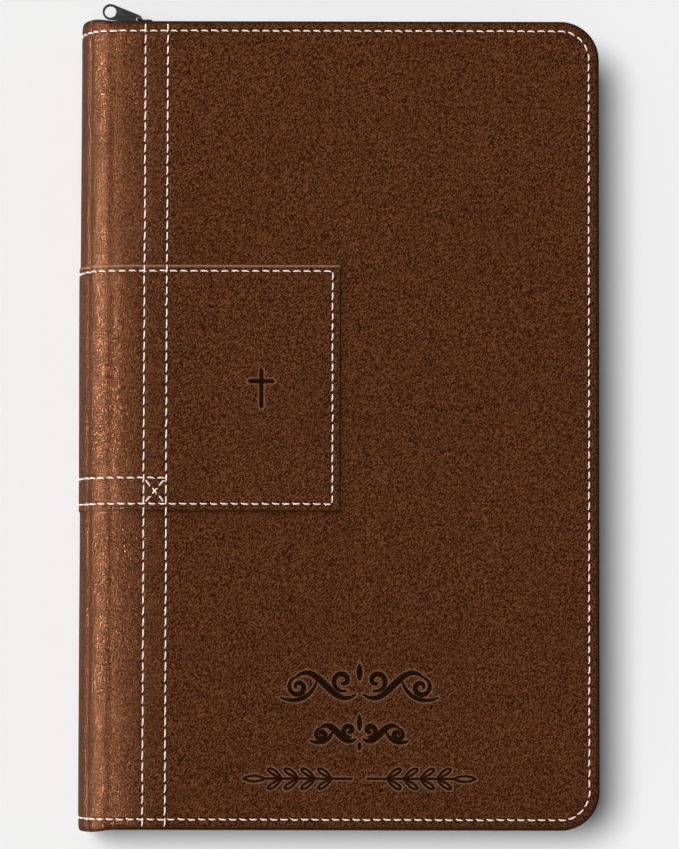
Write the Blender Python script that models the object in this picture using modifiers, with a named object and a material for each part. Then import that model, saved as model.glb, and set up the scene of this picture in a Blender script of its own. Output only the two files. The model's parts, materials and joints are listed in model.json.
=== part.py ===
"""Zip-around devotional book with a soft leather-like case, a sewn text block and a coil zip.

The closed book lies on its back cover. +Y runs to the head, +X to the fore-edge and +Z up.
The origin is on the back cover's outer face. All sizes are in metres.
"""

import math

import bmesh
import bpy
from mathutils import Vector

# Case
FORE_EDGE_X = 0.080
HINGE_X = -0.069
HALF_LENGTH = 0.1245
BOOK_THICKNESS = 0.031
CORNER_RADIUS = 0.012
CORNER_STEPS = 7
SKIN = 0.0010
RIM_DEPTH = 0.0030
RIM_ROUNDING = 0.0022
GAP = 0.0003
HALF_GAP = 0.00015
BOARD = 0.0008
BOARD_INSET = 0.0021
LINING = 0.0005
LINING_INSET = 0.0090

# Spine, a half ellipse from the front face to the back face
MID_Z = BOOK_THICKNESS / 2
SPINE_DEPTH = 0.0115
SPINE_STEPS = 20
INLAY = 0.0006
INLAY_HALF_LENGTH = 0.118
MULL = 0.0004
MULL_HALF_LENGTH = 0.108

# Sewn-on panel that wraps from the spine over the front face
PANEL = 0.0006
PANEL_RIGHT = 0.0004
PANEL_HEAD = 0.0488
PANEL_TAIL = -0.0269

# Stitching
THREAD_RADIUS = 0.0003
EDGE_STITCH_INSET = 0.0033
SEAM_OUTER_X = -0.0598
SEAM_INNER_X = -0.0529
THREAD_LEFT = -0.0645
PANEL_STITCH_HEAD = 0.0468
PANEL_STITCH_TAIL = -0.0248
PANEL_STITCH_RIGHT = -0.0019
STRAP_STITCH_Y = -0.0168

# Text block
SIGNATURES = 15
SIGNATURE_PITCH = 0.0015
PAGE_HALF_LENGTH = 0.112
PAGE_RIGHT = 0.066
PAGE_HOLLOW = 0.0025
PAGE_CORNER_RADIUS = 0.007
PAGE_STEPS = 5
LEAF = 0.0004
LEAF_LEFT = -0.066
BAND_RADIUS = 0.0009

# Zip
ZIP_INSET = 0.00225
TAPE = 0.0008
TAPE_FLANGE_INSET = 0.0087
TAPE_LEFT = -0.066
COIL_WIDTH = 0.0022
COIL_THICKNESS = 0.0024
COIL_LEFT_HEAD = -0.0633
COIL_LEFT_TAIL = -0.0620
COIL_HALF_SPACE = 0.0005
STOP_LENGTH = 0.0017

# Slider and pull
SLIDER_LEFT = -0.0630
SLIDER_RIGHT = -0.0530
SLIDER_HALF_HEIGHT = 0.0038
SLIDER_NOSE_HALF_HEIGHT = 0.0026
PLATE = 0.0013
POST_LENGTH = 0.0022
POST_HEIGHT = 0.0005
BAIL_LEFT = -0.0619
BAIL_RIGHT = -0.0583
BAIL_REACH = 0.0019
BAIL_STRAP = 0.0006
BAIL_HEIGHT = 0.0014
LINK_AXIS = Vector((-0.0601, 0.1260))
TAB_AXIS = Vector((-0.0631, 0.1275))
LINK_WIRE = 0.0004
LINK_HALF_HEIGHT = 0.0017
TAB_TILT = math.radians(165.8)
TAB_REACH = 0.0089
TAB_THICKNESS = 0.0012
TAB_NARROW_RADIUS = 0.0012
TAB_NARROW_HOLE = 0.0007
TAB_RING_RADIUS = 0.00245
TAB_RING_HOLE = 0.00185

parts = None
cutters = None


def clear_scene():
    for obj in list(bpy.data.objects):
        bpy.data.objects.remove(obj)


def new_collection(name):
    collection = bpy.data.collections.new(name)
    bpy.context.scene.collection.children.link(collection)
    return collection


def material(name, colour, roughness, metallic=0.0):
    found = bpy.data.materials.get(name)
    if found:
        return found
    made = bpy.data.materials.new(name)
    made.use_nodes = True
    shader = made.node_tree.nodes["Principled BSDF"]
    shader.inputs["Base Color"].default_value = (*colour, 1.0)
    shader.inputs["Roughness"].default_value = roughness
    shader.inputs["Metallic"].default_value = metallic
    return made


def leather():
    return material("brown_leather", (0.095, 0.034, 0.014), 0.55)


def board():
    return material("grey_board", (0.35, 0.31, 0.26), 0.90)


def endpaper():
    return material("endpaper", (0.055, 0.030, 0.020), 0.80)


def page_paper():
    return material("page_paper", (0.80, 0.76, 0.66), 0.85)


def tape_cloth():
    return material("zip_tape", (0.020, 0.013, 0.010), 0.90)


def coil_plastic():
    return material("zip_coil", (0.016, 0.011, 0.009), 0.45)


def gunmetal():
    return material("gunmetal", (0.10, 0.10, 0.105), 0.35, 1.0)


def thread():
    return material("cream_thread", (0.78, 0.66, 0.55), 0.75)


def band_cloth():
    return material("band_cloth", (0.45, 0.30, 0.18), 0.85)


# ---------------------------------------------------------------- shape helpers


def link_mesh(name, mesh, finish):
    obj = bpy.data.objects.new(name, mesh)
    parts.objects.link(obj)
    mesh.materials.append(finish)
    return obj


def poly_curve(name, points, cyclic, dimensions="2D"):
    """A curve whose one POLY spline runs through the points."""
    curve = bpy.data.curves.new(name, "CURVE")
    curve.dimensions = dimensions
    spline = curve.splines.new("POLY")
    spline.points.add(len(points) - 1)
    for place, point in zip(spline.points, points):
        xyz = tuple(point) + (0.0,) * (3 - len(point))
        place.co = (*xyz, 1.0)
    spline.use_cyclic_u = cyclic
    return curve


def add_outline(curve, points):
    """A further closed spline, which a filled 2D curve leaves open as a hole."""
    spline = curve.splines.new("POLY")
    spline.points.add(len(points) - 1)
    for place, point in zip(spline.points, points):
        place.co = (point[0], point[1], 0.0, 1.0)
    spline.use_cyclic_u = True


def plate(name, outline, low, high, finish, holes=()):
    """A flat outline in the XY plane, filled between two heights."""
    curve = poly_curve(name, outline, True)
    for hole in holes:
        add_outline(curve, hole)
    curve.fill_mode = "BOTH"
    curve.extrude = (high - low) / 2
    curve.materials.append(finish)
    obj = bpy.data.objects.new(name, curve)
    obj.location.z = (low + high) / 2
    parts.objects.link(obj)
    return obj


def extrusion_along_y(name, outline, y_low, y_high, finish):
    """An outline of (x, z) points, filled between two places along Y."""
    obj = plate(name, outline, y_low, y_high, finish)
    obj.location = (0.0, (y_low + y_high) / 2, 0.0)
    obj.rotation_euler.x = math.pi / 2
    return obj


def tube(name, points, radius, finish, cyclic=False):
    curve = poly_curve(name, points, cyclic, "3D")
    curve.bevel_depth = radius
    curve.bevel_resolution = 2
    curve.use_fill_caps = not cyclic
    curve.materials.append(finish)
    obj = bpy.data.objects.new(name, curve)
    parts.objects.link(obj)
    return obj


def sweep(name, path, profile, finish):
    """A closed profile of (inset, height) points carried along a flat path at the cover's edge."""
    section = poly_curve(name + "_section", profile, True)
    section_obj = bpy.data.objects.new(name + "_section", section)
    section_obj.hide_render = True
    cutters.objects.link(section_obj)
    curve = poly_curve(name, path, False)
    curve.bevel_mode = "OBJECT"
    curve.bevel_object = section_obj
    curve.use_fill_caps = True
    obj = bpy.data.objects.new(name, curve)
    parts.objects.link(obj)
    mesh = as_mesh(obj, finish)
    cutters.objects.unlink(section_obj)
    bpy.data.objects.remove(section_obj)
    return mesh


def as_mesh(obj, finish):
    """Turns a curve object into a mesh object whose caps are welded."""
    bpy.context.view_layer.update()
    depsgraph = bpy.context.evaluated_depsgraph_get()
    mesh = bpy.data.meshes.new_from_object(obj.evaluated_get(depsgraph))
    bm = bmesh.new()
    bm.from_mesh(mesh)
    bmesh.ops.remove_doubles(bm, verts=bm.verts, dist=1e-6)
    bmesh.ops.recalc_face_normals(bm, faces=bm.faces)
    bm.to_mesh(mesh)
    bm.free()
    mesh.materials.clear()
    made = link_mesh("made_" + obj.name, mesh, finish)
    made.matrix_world = obj.matrix_world
    name = obj.name
    bpy.data.objects.remove(obj)
    made.name = name
    return made


def boolean(obj, other, operation):
    modifier = obj.modifiers.new(operation.lower(), "BOOLEAN")
    modifier.operation = operation
    modifier.object = other
    other.hide_render = True
    other.display_type = "WIRE"
    parts.objects.unlink(other)
    cutters.objects.link(other)


def circle(centre, radius, steps):
    return [
        (
            centre[0] + radius * math.cos(math.tau * step / steps),
            centre[1] + radius * math.sin(math.tau * step / steps),
        )
        for step in range(steps)
    ]


def arc(centre, radius, start, end, steps):
    angles = [start + (end - start) * step / steps for step in range(steps + 1)]
    return [
        (centre[0] + radius * math.cos(a), centre[1] + radius * math.sin(a)) for a in angles
    ]


def smooth(obj, degrees=35.0):
    obj.data.shade_smooth()
    obj.data.set_sharp_from_angle(angle=math.radians(degrees))


# ---------------------------------------------------------------- outlines


def edge_path(inset, left_head, left_tail):
    """Round the three open edges of the cover, from the head to the tail, inset from its edge."""
    radius = CORNER_RADIUS - inset
    turn_x = FORE_EDGE_X - CORNER_RADIUS
    turn_y = HALF_LENGTH - CORNER_RADIUS
    points = [(left_head, HALF_LENGTH - inset)]
    points += arc((turn_x, turn_y), radius, math.pi / 2, 0.0, CORNER_STEPS)
    points += arc((turn_x, -turn_y), radius, 0.0, -math.pi / 2, CORNER_STEPS)
    points.append((left_tail, -(HALF_LENGTH - inset)))
    return points


def spine_point(angle, offset):
    """A point of the spine's outer ellipse, moved inwards by offset along its normal."""
    point = Vector((HINGE_X - SPINE_DEPTH * math.cos(angle), MID_Z + MID_Z * math.sin(angle)))
    normal = Vector((-math.cos(angle) / SPINE_DEPTH, math.sin(angle) / MID_Z)).normalized()
    return point - normal * offset


def spine_shell(outer, thickness, top_angle, bottom_angle):
    """Outline of a shell that follows the spine at an offset from its outer face."""
    steps = range(SPINE_STEPS + 1)
    angles = [top_angle + (bottom_angle - top_angle) * s / SPINE_STEPS for s in steps]
    outside = [spine_point(a, outer) for a in angles]
    inside = [spine_point(a, outer + thickness) for a in reversed(angles)]
    return outside + inside


def page_left(height):
    """Where the rounded back of the text block lies at a height."""
    offset = SKIN + GAP + INLAY + GAP + MULL + GAP
    half = MID_Z - offset
    rise = min(abs(height - MID_Z) / half, 1.0)
    return HINGE_X + GAP - (SPINE_DEPTH - offset) * math.sqrt(1.0 - rise * rise)


def page_right(height):
    """Where the hollow fore-edge of the text block lies at a height."""
    rise = (height - MID_Z) / (SIGNATURES * SIGNATURE_PITCH / 2)
    return PAGE_RIGHT - PAGE_HOLLOW * (1.0 - rise * rise)


def page_outline(left, right):
    radius = PAGE_CORNER_RADIUS
    turn = (right - radius, PAGE_HALF_LENGTH - radius)
    points = [(left, -PAGE_HALF_LENGTH)]
    points += arc((turn[0], -turn[1]), radius, -math.pi / 2, 0.0, PAGE_STEPS)
    points += arc(turn, radius, 0.0, math.pi / 2, PAGE_STEPS)
    points.append((left, PAGE_HALF_LENGTH))
    return points


# ---------------------------------------------------------------- case


def cover_skin(name, face_z, inward):
    """The leather-like sheet of one cover: a flat face with its edge rolled towards the pages.

    inward is -1 for the front cover, whose rim runs down, and +1 for the back cover.
    """
    outline = edge_path(0.0, HINGE_X + HALF_GAP, HINGE_X + HALF_GAP)
    bm = bmesh.new()
    ring = [bm.verts.new((x, y, face_z)) for x, y in outline]
    rim = [bm.verts.new((x, y, face_z + inward * RIM_DEPTH)) for x, y in outline]
    bm.faces.new(ring)
    for step in range(len(ring) - 1):
        bm.faces.new((ring[step], ring[step + 1], rim[step + 1], rim[step]))
    bmesh.ops.recalc_face_normals(bm, faces=bm.faces)
    face = max(bm.faces, key=lambda f: f.calc_area())
    if face.normal.z * inward > 0.0:
        bmesh.ops.reverse_faces(bm, faces=bm.faces)
    mesh = bpy.data.meshes.new(name)
    bm.to_mesh(mesh)
    bm.free()
    obj = link_mesh(name, mesh, leather())
    rounding = obj.modifiers.new("rolled_edge", "BEVEL")
    rounding.width = RIM_ROUNDING
    rounding.segments = 3
    rounding.limit_method = "ANGLE"
    rounding.angle_limit = math.radians(60.0)
    shell = obj.modifiers.new("sheet", "SOLIDIFY")
    shell.thickness = SKIN
    shell.offset = -1.0
    shell.use_even_offset = True
    smooth(obj)
    return obj


def cover(side, face_z, inward):
    """Skin, board and lining of one cover, from the outside in."""
    cover_skin(side + "_cover_skin", face_z, inward)
    board_outer = face_z + inward * (SKIN + GAP)
    board_inner = board_outer + inward * BOARD
    lining_outer = board_inner + inward * GAP
    lining_inner = lining_outer + inward * LINING
    left = HINGE_X + 0.0030
    board_outline = edge_path(BOARD_INSET, left, left)
    lining_outline = edge_path(LINING_INSET, left, left)
    plate(
        side + "_cover_board",
        board_outline,
        min(board_outer, board_inner),
        max(board_outer, board_inner),
        board(),
    )
    plate(
        side + "_cover_lining",
        lining_outline,
        min(lining_outer, lining_inner),
        max(lining_outer, lining_inner),
        endpaper(),
    )


def spine():
    """Spine leather, its panel, the card inlay behind it and the gauze glued to the sections."""
    top = math.acos(HALF_GAP / SPINE_DEPTH)
    extrusion_along_y(
        "spine_skin", spine_shell(0.0, SKIN, top, -top), -HALF_LENGTH, HALF_LENGTH, leather()
    )
    panel_outline = spine_shell(-GAP - PANEL, PANEL, top, math.radians(-60.0))
    extrusion_along_y("spine_panel", panel_outline, PANEL_TAIL, PANEL_HEAD, leather())
    inlay_outline = spine_shell(SKIN + GAP, INLAY, math.radians(75.0), math.radians(-75.0))
    extrusion_along_y(
        "spine_inlay", inlay_outline, -INLAY_HALF_LENGTH, INLAY_HALF_LENGTH, board()
    )
    mull_outline = spine_shell(
        SKIN + GAP + INLAY + GAP, MULL, math.radians(62.0), math.radians(-62.0)
    )
    extrusion_along_y(
        "spine_mull", mull_outline, -MULL_HALF_LENGTH, MULL_HALF_LENGTH, band_cloth()
    )


def front_panel():
    low = BOOK_THICKNESS + GAP
    left = HINGE_X + HALF_GAP
    outline = [
        (left, PANEL_TAIL),
        (PANEL_RIGHT, PANEL_TAIL),
        (PANEL_RIGHT, PANEL_HEAD),
        (left, PANEL_HEAD),
    ]
    plate("front_panel", outline, low, low + PANEL, leather())


def threads():
    """Rows of stitching on the front cover, each one continuous thread on the surface."""
    on_skin = BOOK_THICKNESS + GAP + THREAD_RADIUS
    on_panel = on_skin + GAP + PANEL
    clear = THREAD_RADIUS * 2 + GAP
    edge = edge_path(EDGE_STITCH_INSET, THREAD_LEFT, THREAD_LEFT)
    edge_points = [(x, y, on_skin) for x, y in edge]
    tube("edge_thread", edge_points, THREAD_RADIUS, thread())
    seam_end = HALF_LENGTH - EDGE_STITCH_INSET - clear
    for name, x in (("outer", SEAM_OUTER_X), ("inner", SEAM_INNER_X)):
        for end, low, high in (
            ("head", PANEL_HEAD + clear, seam_end),
            ("tail", -seam_end, PANEL_TAIL - clear),
        ):
            points = [(x, low, on_skin), (x, high, on_skin)]
            tube(f"seam_thread_{name}_{end}", points, THREAD_RADIUS, thread())
    panel_points = [
        (THREAD_LEFT, PANEL_STITCH_HEAD, on_panel),
        (PANEL_STITCH_RIGHT, PANEL_STITCH_HEAD, on_panel),
        (PANEL_STITCH_RIGHT, PANEL_STITCH_TAIL, on_panel),
        (THREAD_LEFT, PANEL_STITCH_TAIL, on_panel),
    ]
    tube("panel_thread", panel_points, THREAD_RADIUS, thread())
    strap_points = [
        (THREAD_LEFT, STRAP_STITCH_Y, on_panel),
        (SEAM_INNER_X, STRAP_STITCH_Y, on_panel),
    ]
    tube("strap_thread", strap_points, THREAD_RADIUS, thread())


# ---------------------------------------------------------------- text block


def text_block():
    """Folded sections from the front down, the free endpapers and the bands at both ends."""
    top = MID_Z + SIGNATURES * SIGNATURE_PITCH / 2
    for number in range(1, SIGNATURES + 1):
        high = top - (number - 1) * SIGNATURE_PITCH - HALF_GAP
        low = high - SIGNATURE_PITCH + GAP
        middle = (low + high) / 2
        turning = number <= 3
        left = LEAF_LEFT if turning else page_left(high if middle > MID_Z else low)
        plate(
            f"section_{number:02d}",
            page_outline(left, page_right(middle)),
            low,
            high,
            page_paper(),
        )
    leaf_outline = page_outline(LEAF_LEFT, PAGE_RIGHT)
    front_low = top + HALF_GAP + GAP
    plate("front_flyleaf", leaf_outline, front_low, front_low + LEAF, endpaper())
    back_high = BOOK_THICKNESS - front_low
    plate("back_flyleaf", leaf_outline, back_high - LEAF, back_high, endpaper())
    arc_angles = [math.radians(52.0 - 104.0 * step / 12) for step in range(13)]
    band_y = PAGE_HALF_LENGTH + GAP + BAND_RADIUS
    band_offset = SKIN + GAP + INLAY + GAP + BAND_RADIUS
    for name, y in (("head_band", band_y), ("tail_band", -band_y)):
        route = [spine_point(a, band_offset) for a in arc_angles]
        tube(name, [(p.x, y, p.y) for p in route], BAND_RADIUS, band_cloth())


# ---------------------------------------------------------------- zip


def coil_profile(low, high):
    """Half-round bead between two heights, centred on the tape."""
    middle = (low + high) / 2
    half_height = (high - low) / 2
    steps = 10
    return [
        (
            ZIP_INSET + COIL_THICKNESS / 2 * math.cos(math.tau * s / steps),
            middle + half_height * math.sin(math.tau * s / steps),
        )
        for s in range(steps)
    ]


def zip_side(side, inward, stop_name):
    """Tape, row of coil and top stop on one cover. inward is the way from the cover to the other."""

    def height(distance):
        """Distance from the middle plane towards this side's cover, as a height."""
        return MID_Z - inward * distance

    coil_near = COIL_HALF_SPACE
    coil_far = COIL_HALF_SPACE + COIL_WIDTH
    tape_near = coil_far + GAP
    flange_near = MID_Z - SKIN - GAP - BOARD - GAP - LINING
    flange_far = flange_near + LINING - 0.0001
    wall_out = ZIP_INSET - TAPE / 2
    wall_in = ZIP_INSET + TAPE / 2
    tape = [
        (wall_out, height(tape_near)),
        (wall_in, height(tape_near)),
        (wall_in, height(flange_near)),
        (TAPE_FLANGE_INSET, height(flange_near)),
        (TAPE_FLANGE_INSET, height(flange_far)),
        (wall_out, height(flange_far)),
    ]
    edge = edge_path(0.0, TAPE_LEFT, TAPE_LEFT)
    sweep(side + "_zip_tape", edge, tape, tape_cloth())
    row = edge_path(0.0, COIL_LEFT_HEAD, COIL_LEFT_TAIL)
    profile = coil_profile(*sorted((height(coil_near), height(coil_far))))
    smooth(sweep(side + "_zip_coil", row, profile, coil_plastic()))
    stop_right = COIL_LEFT_HEAD - GAP
    y = HALF_LENGTH - ZIP_INSET
    crimp(
        stop_name,
        (stop_right - STOP_LENGTH, stop_right),
        (y - COIL_THICKNESS / 2, y + COIL_THICKNESS / 2),
        sorted((height(coil_near), height(coil_far - 0.0002))),
    )


def crimp(name, x_range, y_range, z_range):
    """A small metal stop pressed over the end of a row, a block with rounded edges."""
    bm = bmesh.new()
    bmesh.ops.create_cube(bm, size=1.0)
    for vert in bm.verts:
        for axis, (low, high) in enumerate((x_range, y_range, z_range)):
            vert.co[axis] = low if vert.co[axis] < 0.0 else high
    mesh = bpy.data.meshes.new(name)
    bm.to_mesh(mesh)
    bm.free()
    obj = link_mesh(name, mesh, gunmetal())
    rounding = obj.modifiers.new("rounded", "BEVEL")
    rounding.width = 0.0004
    rounding.segments = 2
    smooth(obj)
    return obj


def zip_bottom_stop():
    y = -(HALF_LENGTH - ZIP_INSET)
    right = COIL_LEFT_TAIL - GAP
    crimp(
        "zip_bottom_stop",
        (right - STOP_LENGTH, right),
        (y - COIL_THICKNESS / 2, y + COIL_THICKNESS / 2),
        (MID_Z - COIL_HALF_SPACE - COIL_WIDTH, MID_Z + COIL_HALF_SPACE - GAP),
    )


def slider_plate(name, y_low, y_high):
    """One cheek of the slider, wide at its open mouth and narrower behind."""
    shoulder = SLIDER_LEFT + 0.0035
    outline = [
        (SLIDER_RIGHT, MID_Z - SLIDER_NOSE_HALF_HEIGHT),
        (SLIDER_RIGHT, MID_Z + SLIDER_NOSE_HALF_HEIGHT),
        (shoulder, MID_Z + SLIDER_HALF_HEIGHT),
        (SLIDER_LEFT + 0.0008, MID_Z + SLIDER_HALF_HEIGHT),
        (SLIDER_LEFT, MID_Z + SLIDER_HALF_HEIGHT - 0.0010),
        (SLIDER_LEFT, MID_Z - SLIDER_HALF_HEIGHT + 0.0010),
        (SLIDER_LEFT + 0.0008, MID_Z - SLIDER_HALF_HEIGHT),
        (shoulder, MID_Z - SLIDER_HALF_HEIGHT),
    ]
    return as_mesh(extrusion_along_y(name, outline, y_low, y_high, gunmetal()), gunmetal())


def slider():
    """Two cheeks joined by a thin post between the rows, and the bail pressed on the outer cheek."""
    chain_y = HALF_LENGTH - ZIP_INSET
    inside = chain_y - COIL_THICKNESS / 2 - GAP
    outside = chain_y + COIL_THICKNESS / 2 + GAP
    body = slider_plate("slider_body", outside, outside + PLATE)
    inner = slider_plate("slider_inner_cheek", inside - PLATE, inside)
    boolean(body, inner, "UNION")
    post = crimp(
        "slider_post",
        (SLIDER_LEFT + 0.0004, SLIDER_LEFT + 0.0004 + POST_LENGTH),
        (inside - PLATE / 2, outside + PLATE / 2),
        (MID_Z - POST_HEIGHT / 2, MID_Z + POST_HEIGHT / 2),
    )
    post.modifiers.clear()
    boolean(body, post, "UNION")
    foot = outside + PLATE + GAP
    crown = foot + BAIL_REACH
    strap_in = crown - BAIL_STRAP
    round_out = 0.0010
    outline = [(BAIL_LEFT, foot)]
    outline += arc(
        (BAIL_LEFT + round_out, crown - round_out), round_out, math.pi, math.pi / 2, 3
    )
    outline += arc(
        (BAIL_RIGHT - round_out, crown - round_out), round_out, math.pi / 2, 0.0, 3
    )
    outline += [
        (BAIL_RIGHT, foot),
        (BAIL_RIGHT - BAIL_STRAP, foot),
        (BAIL_RIGHT - BAIL_STRAP, strap_in),
        (BAIL_LEFT + BAIL_STRAP, strap_in),
        (BAIL_LEFT + BAIL_STRAP, foot),
    ]
    plate(
        "slider_bail", outline, MID_Z - BAIL_HEIGHT / 2, MID_Z + BAIL_HEIGHT / 2, gunmetal()
    )


def pull():
    """Upright wire link through the bail, and the flat tapered tab with its eye."""
    along = TAB_AXIS - LINK_AXIS
    reach = along.length
    along = along.normalized()
    bend = 0.0011
    corners = (
        ((reach - bend, LINK_HALF_HEIGHT - bend), 0.0),
        ((bend, LINK_HALF_HEIGHT - bend), math.pi / 2),
        ((bend, -LINK_HALF_HEIGHT + bend), math.pi),
        ((reach - bend, -LINK_HALF_HEIGHT + bend), math.pi * 1.5),
    )
    route = []
    for centre, start in corners:
        route += arc(centre, bend, start, start + math.pi / 2, 4)
    points = [(*(LINK_AXIS + along * d), MID_Z + h) for d, h in route]
    tube("pull_link", points, LINK_WIRE, gunmetal(), cyclic=True)

    ring = TAB_AXIS + Vector((math.cos(TAB_TILT), math.sin(TAB_TILT))) * TAB_REACH
    spread = math.asin((TAB_RING_RADIUS - TAB_NARROW_RADIUS) / TAB_REACH)
    side = math.pi / 2 + spread
    outline = arc(TAB_AXIS, TAB_NARROW_RADIUS, TAB_TILT + side, TAB_TILT + math.tau - side, 8)
    outline += arc(ring, TAB_RING_RADIUS, TAB_TILT - side, TAB_TILT + side, 14)
    holes = (circle(TAB_AXIS, TAB_NARROW_HOLE, 12), circle(ring, TAB_RING_HOLE, 20))
    half = TAB_THICKNESS / 2
    plate("pull_tab", outline, MID_Z - half, MID_Z + half, gunmetal(), holes)


def main():
    global parts, cutters
    clear_scene()
    parts = new_collection("zip_around_bible")
    cutters = new_collection("cutters")
    cover("front", BOOK_THICKNESS, -1.0)
    cover("back", 0.0, 1.0)
    spine()
    front_panel()
    threads()
    text_block()
    zip_side("front", -1.0, "front_top_stop")
    zip_side("back", 1.0, "back_top_stop")
    zip_bottom_stop()
    slider()
    pull()


main()
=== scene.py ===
"""Looks of the zip-around bible: stitched leather-like case, paper, coil zip and its pull.

Everything is in metres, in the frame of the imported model. The case's sheet is laid out flat in
(u, y): u is x on the flat front face, and runs on round the spine as a distance along its curve.
"""

import json
import math

import bmesh
import bpy
import numpy as np
from mathutils import Matrix, Vector, geometry


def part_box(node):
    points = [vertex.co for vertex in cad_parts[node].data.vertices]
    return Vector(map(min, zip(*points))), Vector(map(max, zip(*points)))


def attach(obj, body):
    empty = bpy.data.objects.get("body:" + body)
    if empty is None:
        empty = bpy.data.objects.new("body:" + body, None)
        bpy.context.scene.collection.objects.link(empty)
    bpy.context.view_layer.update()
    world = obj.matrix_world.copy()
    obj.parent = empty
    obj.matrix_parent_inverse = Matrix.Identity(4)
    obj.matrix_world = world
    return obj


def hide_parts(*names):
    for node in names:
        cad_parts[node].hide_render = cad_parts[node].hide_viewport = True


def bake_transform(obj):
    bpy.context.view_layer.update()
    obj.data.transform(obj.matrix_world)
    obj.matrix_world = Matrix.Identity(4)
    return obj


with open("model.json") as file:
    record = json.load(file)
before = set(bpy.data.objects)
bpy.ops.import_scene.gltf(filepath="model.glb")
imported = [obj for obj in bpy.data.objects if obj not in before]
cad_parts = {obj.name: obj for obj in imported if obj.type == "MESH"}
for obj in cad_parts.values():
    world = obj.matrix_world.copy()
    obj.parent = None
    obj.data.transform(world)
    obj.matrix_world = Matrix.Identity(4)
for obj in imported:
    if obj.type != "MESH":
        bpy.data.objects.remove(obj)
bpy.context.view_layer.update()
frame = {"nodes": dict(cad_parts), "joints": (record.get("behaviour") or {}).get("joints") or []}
RANDOM = np.random.default_rng(7)

# ---- sizes read from the frame


def middle(node, axis):
    low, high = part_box(node)
    return (low[axis] + high[axis]) / 2


FRONT_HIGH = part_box("front_cover_skin")[1]
SPINE_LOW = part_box("spine_skin")[0]
FORE_X = FRONT_HIGH.x
HALF_LENGTH = FRONT_HIGH.y
TOP_Z = FRONT_HIGH.z
MID_Z = TOP_Z / 2
HINGE_X = next(joint["pos_m"][0] for joint in frame["joints"] if joint["name"] == "front_hinge")
SPINE_DEPTH = HINGE_X - SPINE_LOW.x
CORNER_RADIUS = 0.012
PANEL_LOW, PANEL_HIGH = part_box("front_panel")
SEAM_XS = (middle("seam_thread_outer_head", 0), middle("seam_thread_inner_head", 0))
THREAD_RADIUS = 0.00027
EDGE_INSET = FORE_X - (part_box("edge_thread")[1].x - THREAD_RADIUS)
PANEL_STITCH_LOW, PANEL_STITCH_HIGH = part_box("panel_thread")
PANEL_STITCH_HEAD = PANEL_STITCH_HIGH.y - THREAD_RADIUS
PANEL_STITCH_TAIL = PANEL_STITCH_LOW.y + THREAD_RADIUS
PANEL_STITCH_RIGHT = PANEL_STITCH_HIGH.x - THREAD_RADIUS
STRAP_Y = middle("strap_thread", 1)

ROLL_INSET = 0.0031
ROLL_DEPTH = 0.0021
RIM_DEPTH = 0.0030
BAND_INSET = 0.0062
PANEL_HEIGHT = 0.0009
PANEL_SKIVE = 0.42
SPINE_FOLD = 0.0094
STITCH_PITCH = 0.00315
SEAM_PITCH = 0.0034
SEAM_STITCH = 0.0027

# ---- meshes and attributes


def new_mesh(name, points, faces, finish, attributes=None):
    """An object made of points and faces, with its material and its attributes for each point."""
    mesh = bpy.data.meshes.new(name)
    mesh.from_pydata(np.asarray(points, float).tolist(), [], [tuple(int(i) for i in f) for f in faces])
    for key, values in (attributes or {}).items():
        values = np.asarray(values, np.float32)
        kind, field = ("FLOAT_VECTOR", "vector") if values.ndim == 2 else ("FLOAT", "value")
        mesh.attributes.new(key, kind, "POINT").data.foreach_set(field, values.ravel())
    mesh.materials.append(finish)
    mesh.shade_smooth()
    mesh.update()
    obj = bpy.data.objects.new(name, mesh)
    bpy.context.scene.collection.objects.link(obj)
    return obj


def grid_faces(rows, columns, close_columns=False):
    """Quads over rows times columns of points, numbered row by row."""
    faces = []
    for r in range(rows - 1):
        here, there = r * columns, (r + 1) * columns
        for c in range(columns if close_columns else columns - 1):
            c2 = (c + 1) % columns
            faces.append((here + c, here + c2, there + c2, there + c))
    return faces


def offset_faces(faces, offset):
    return [tuple(i + offset for i in f) for f in faces]


def flipped(faces):
    return [tuple(reversed(f)) for f in faces]


def smoothstep(values, low, high):
    t = np.clip((values - low) / (high - low), 0.0, 1.0)
    return t * t * (3.0 - 2.0 * t)


# ---- the sheet round the spine

ARC_ANGLES = np.linspace(math.pi / 2, -math.pi / 2, 721)
ARC_X = HINGE_X - SPINE_DEPTH * np.cos(ARC_ANGLES)
ARC_Z = MID_Z + MID_Z * np.sin(ARC_ANGLES)
ARC_LENGTHS = np.concatenate(([0.0], np.cumsum(np.hypot(np.diff(ARC_X), np.diff(ARC_Z)))))
SPINE_ARC = ARC_LENGTHS[-1]
U_MID = HINGE_X - SPINE_ARC / 2


def wrap(u, y, height):
    """Points of the sheet, height above its outer face, on the front, round the spine or on the back."""
    u, y, height = (np.asarray(v, float) for v in (u, y, height))
    along = np.clip(HINGE_X - u, 0.0, SPINE_ARC)
    angle = np.interp(along, ARC_LENGTHS, ARC_ANGLES)
    normal_x = -np.cos(angle) / SPINE_DEPTH
    normal_z = np.sin(angle) / MID_Z
    size = np.hypot(normal_x, normal_z)
    normal_x, normal_z = normal_x / size, normal_z / size
    flat_back = np.clip(HINGE_X - u - SPINE_ARC, 0.0, None)
    flat_front = np.clip(u - HINGE_X, 0.0, None)
    x = HINGE_X - SPINE_DEPTH * np.cos(angle) + flat_front + flat_back + normal_x * height
    z = MID_Z + MID_Z * np.sin(angle) + normal_z * height
    return np.stack([x, y, z], axis=1)


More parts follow.
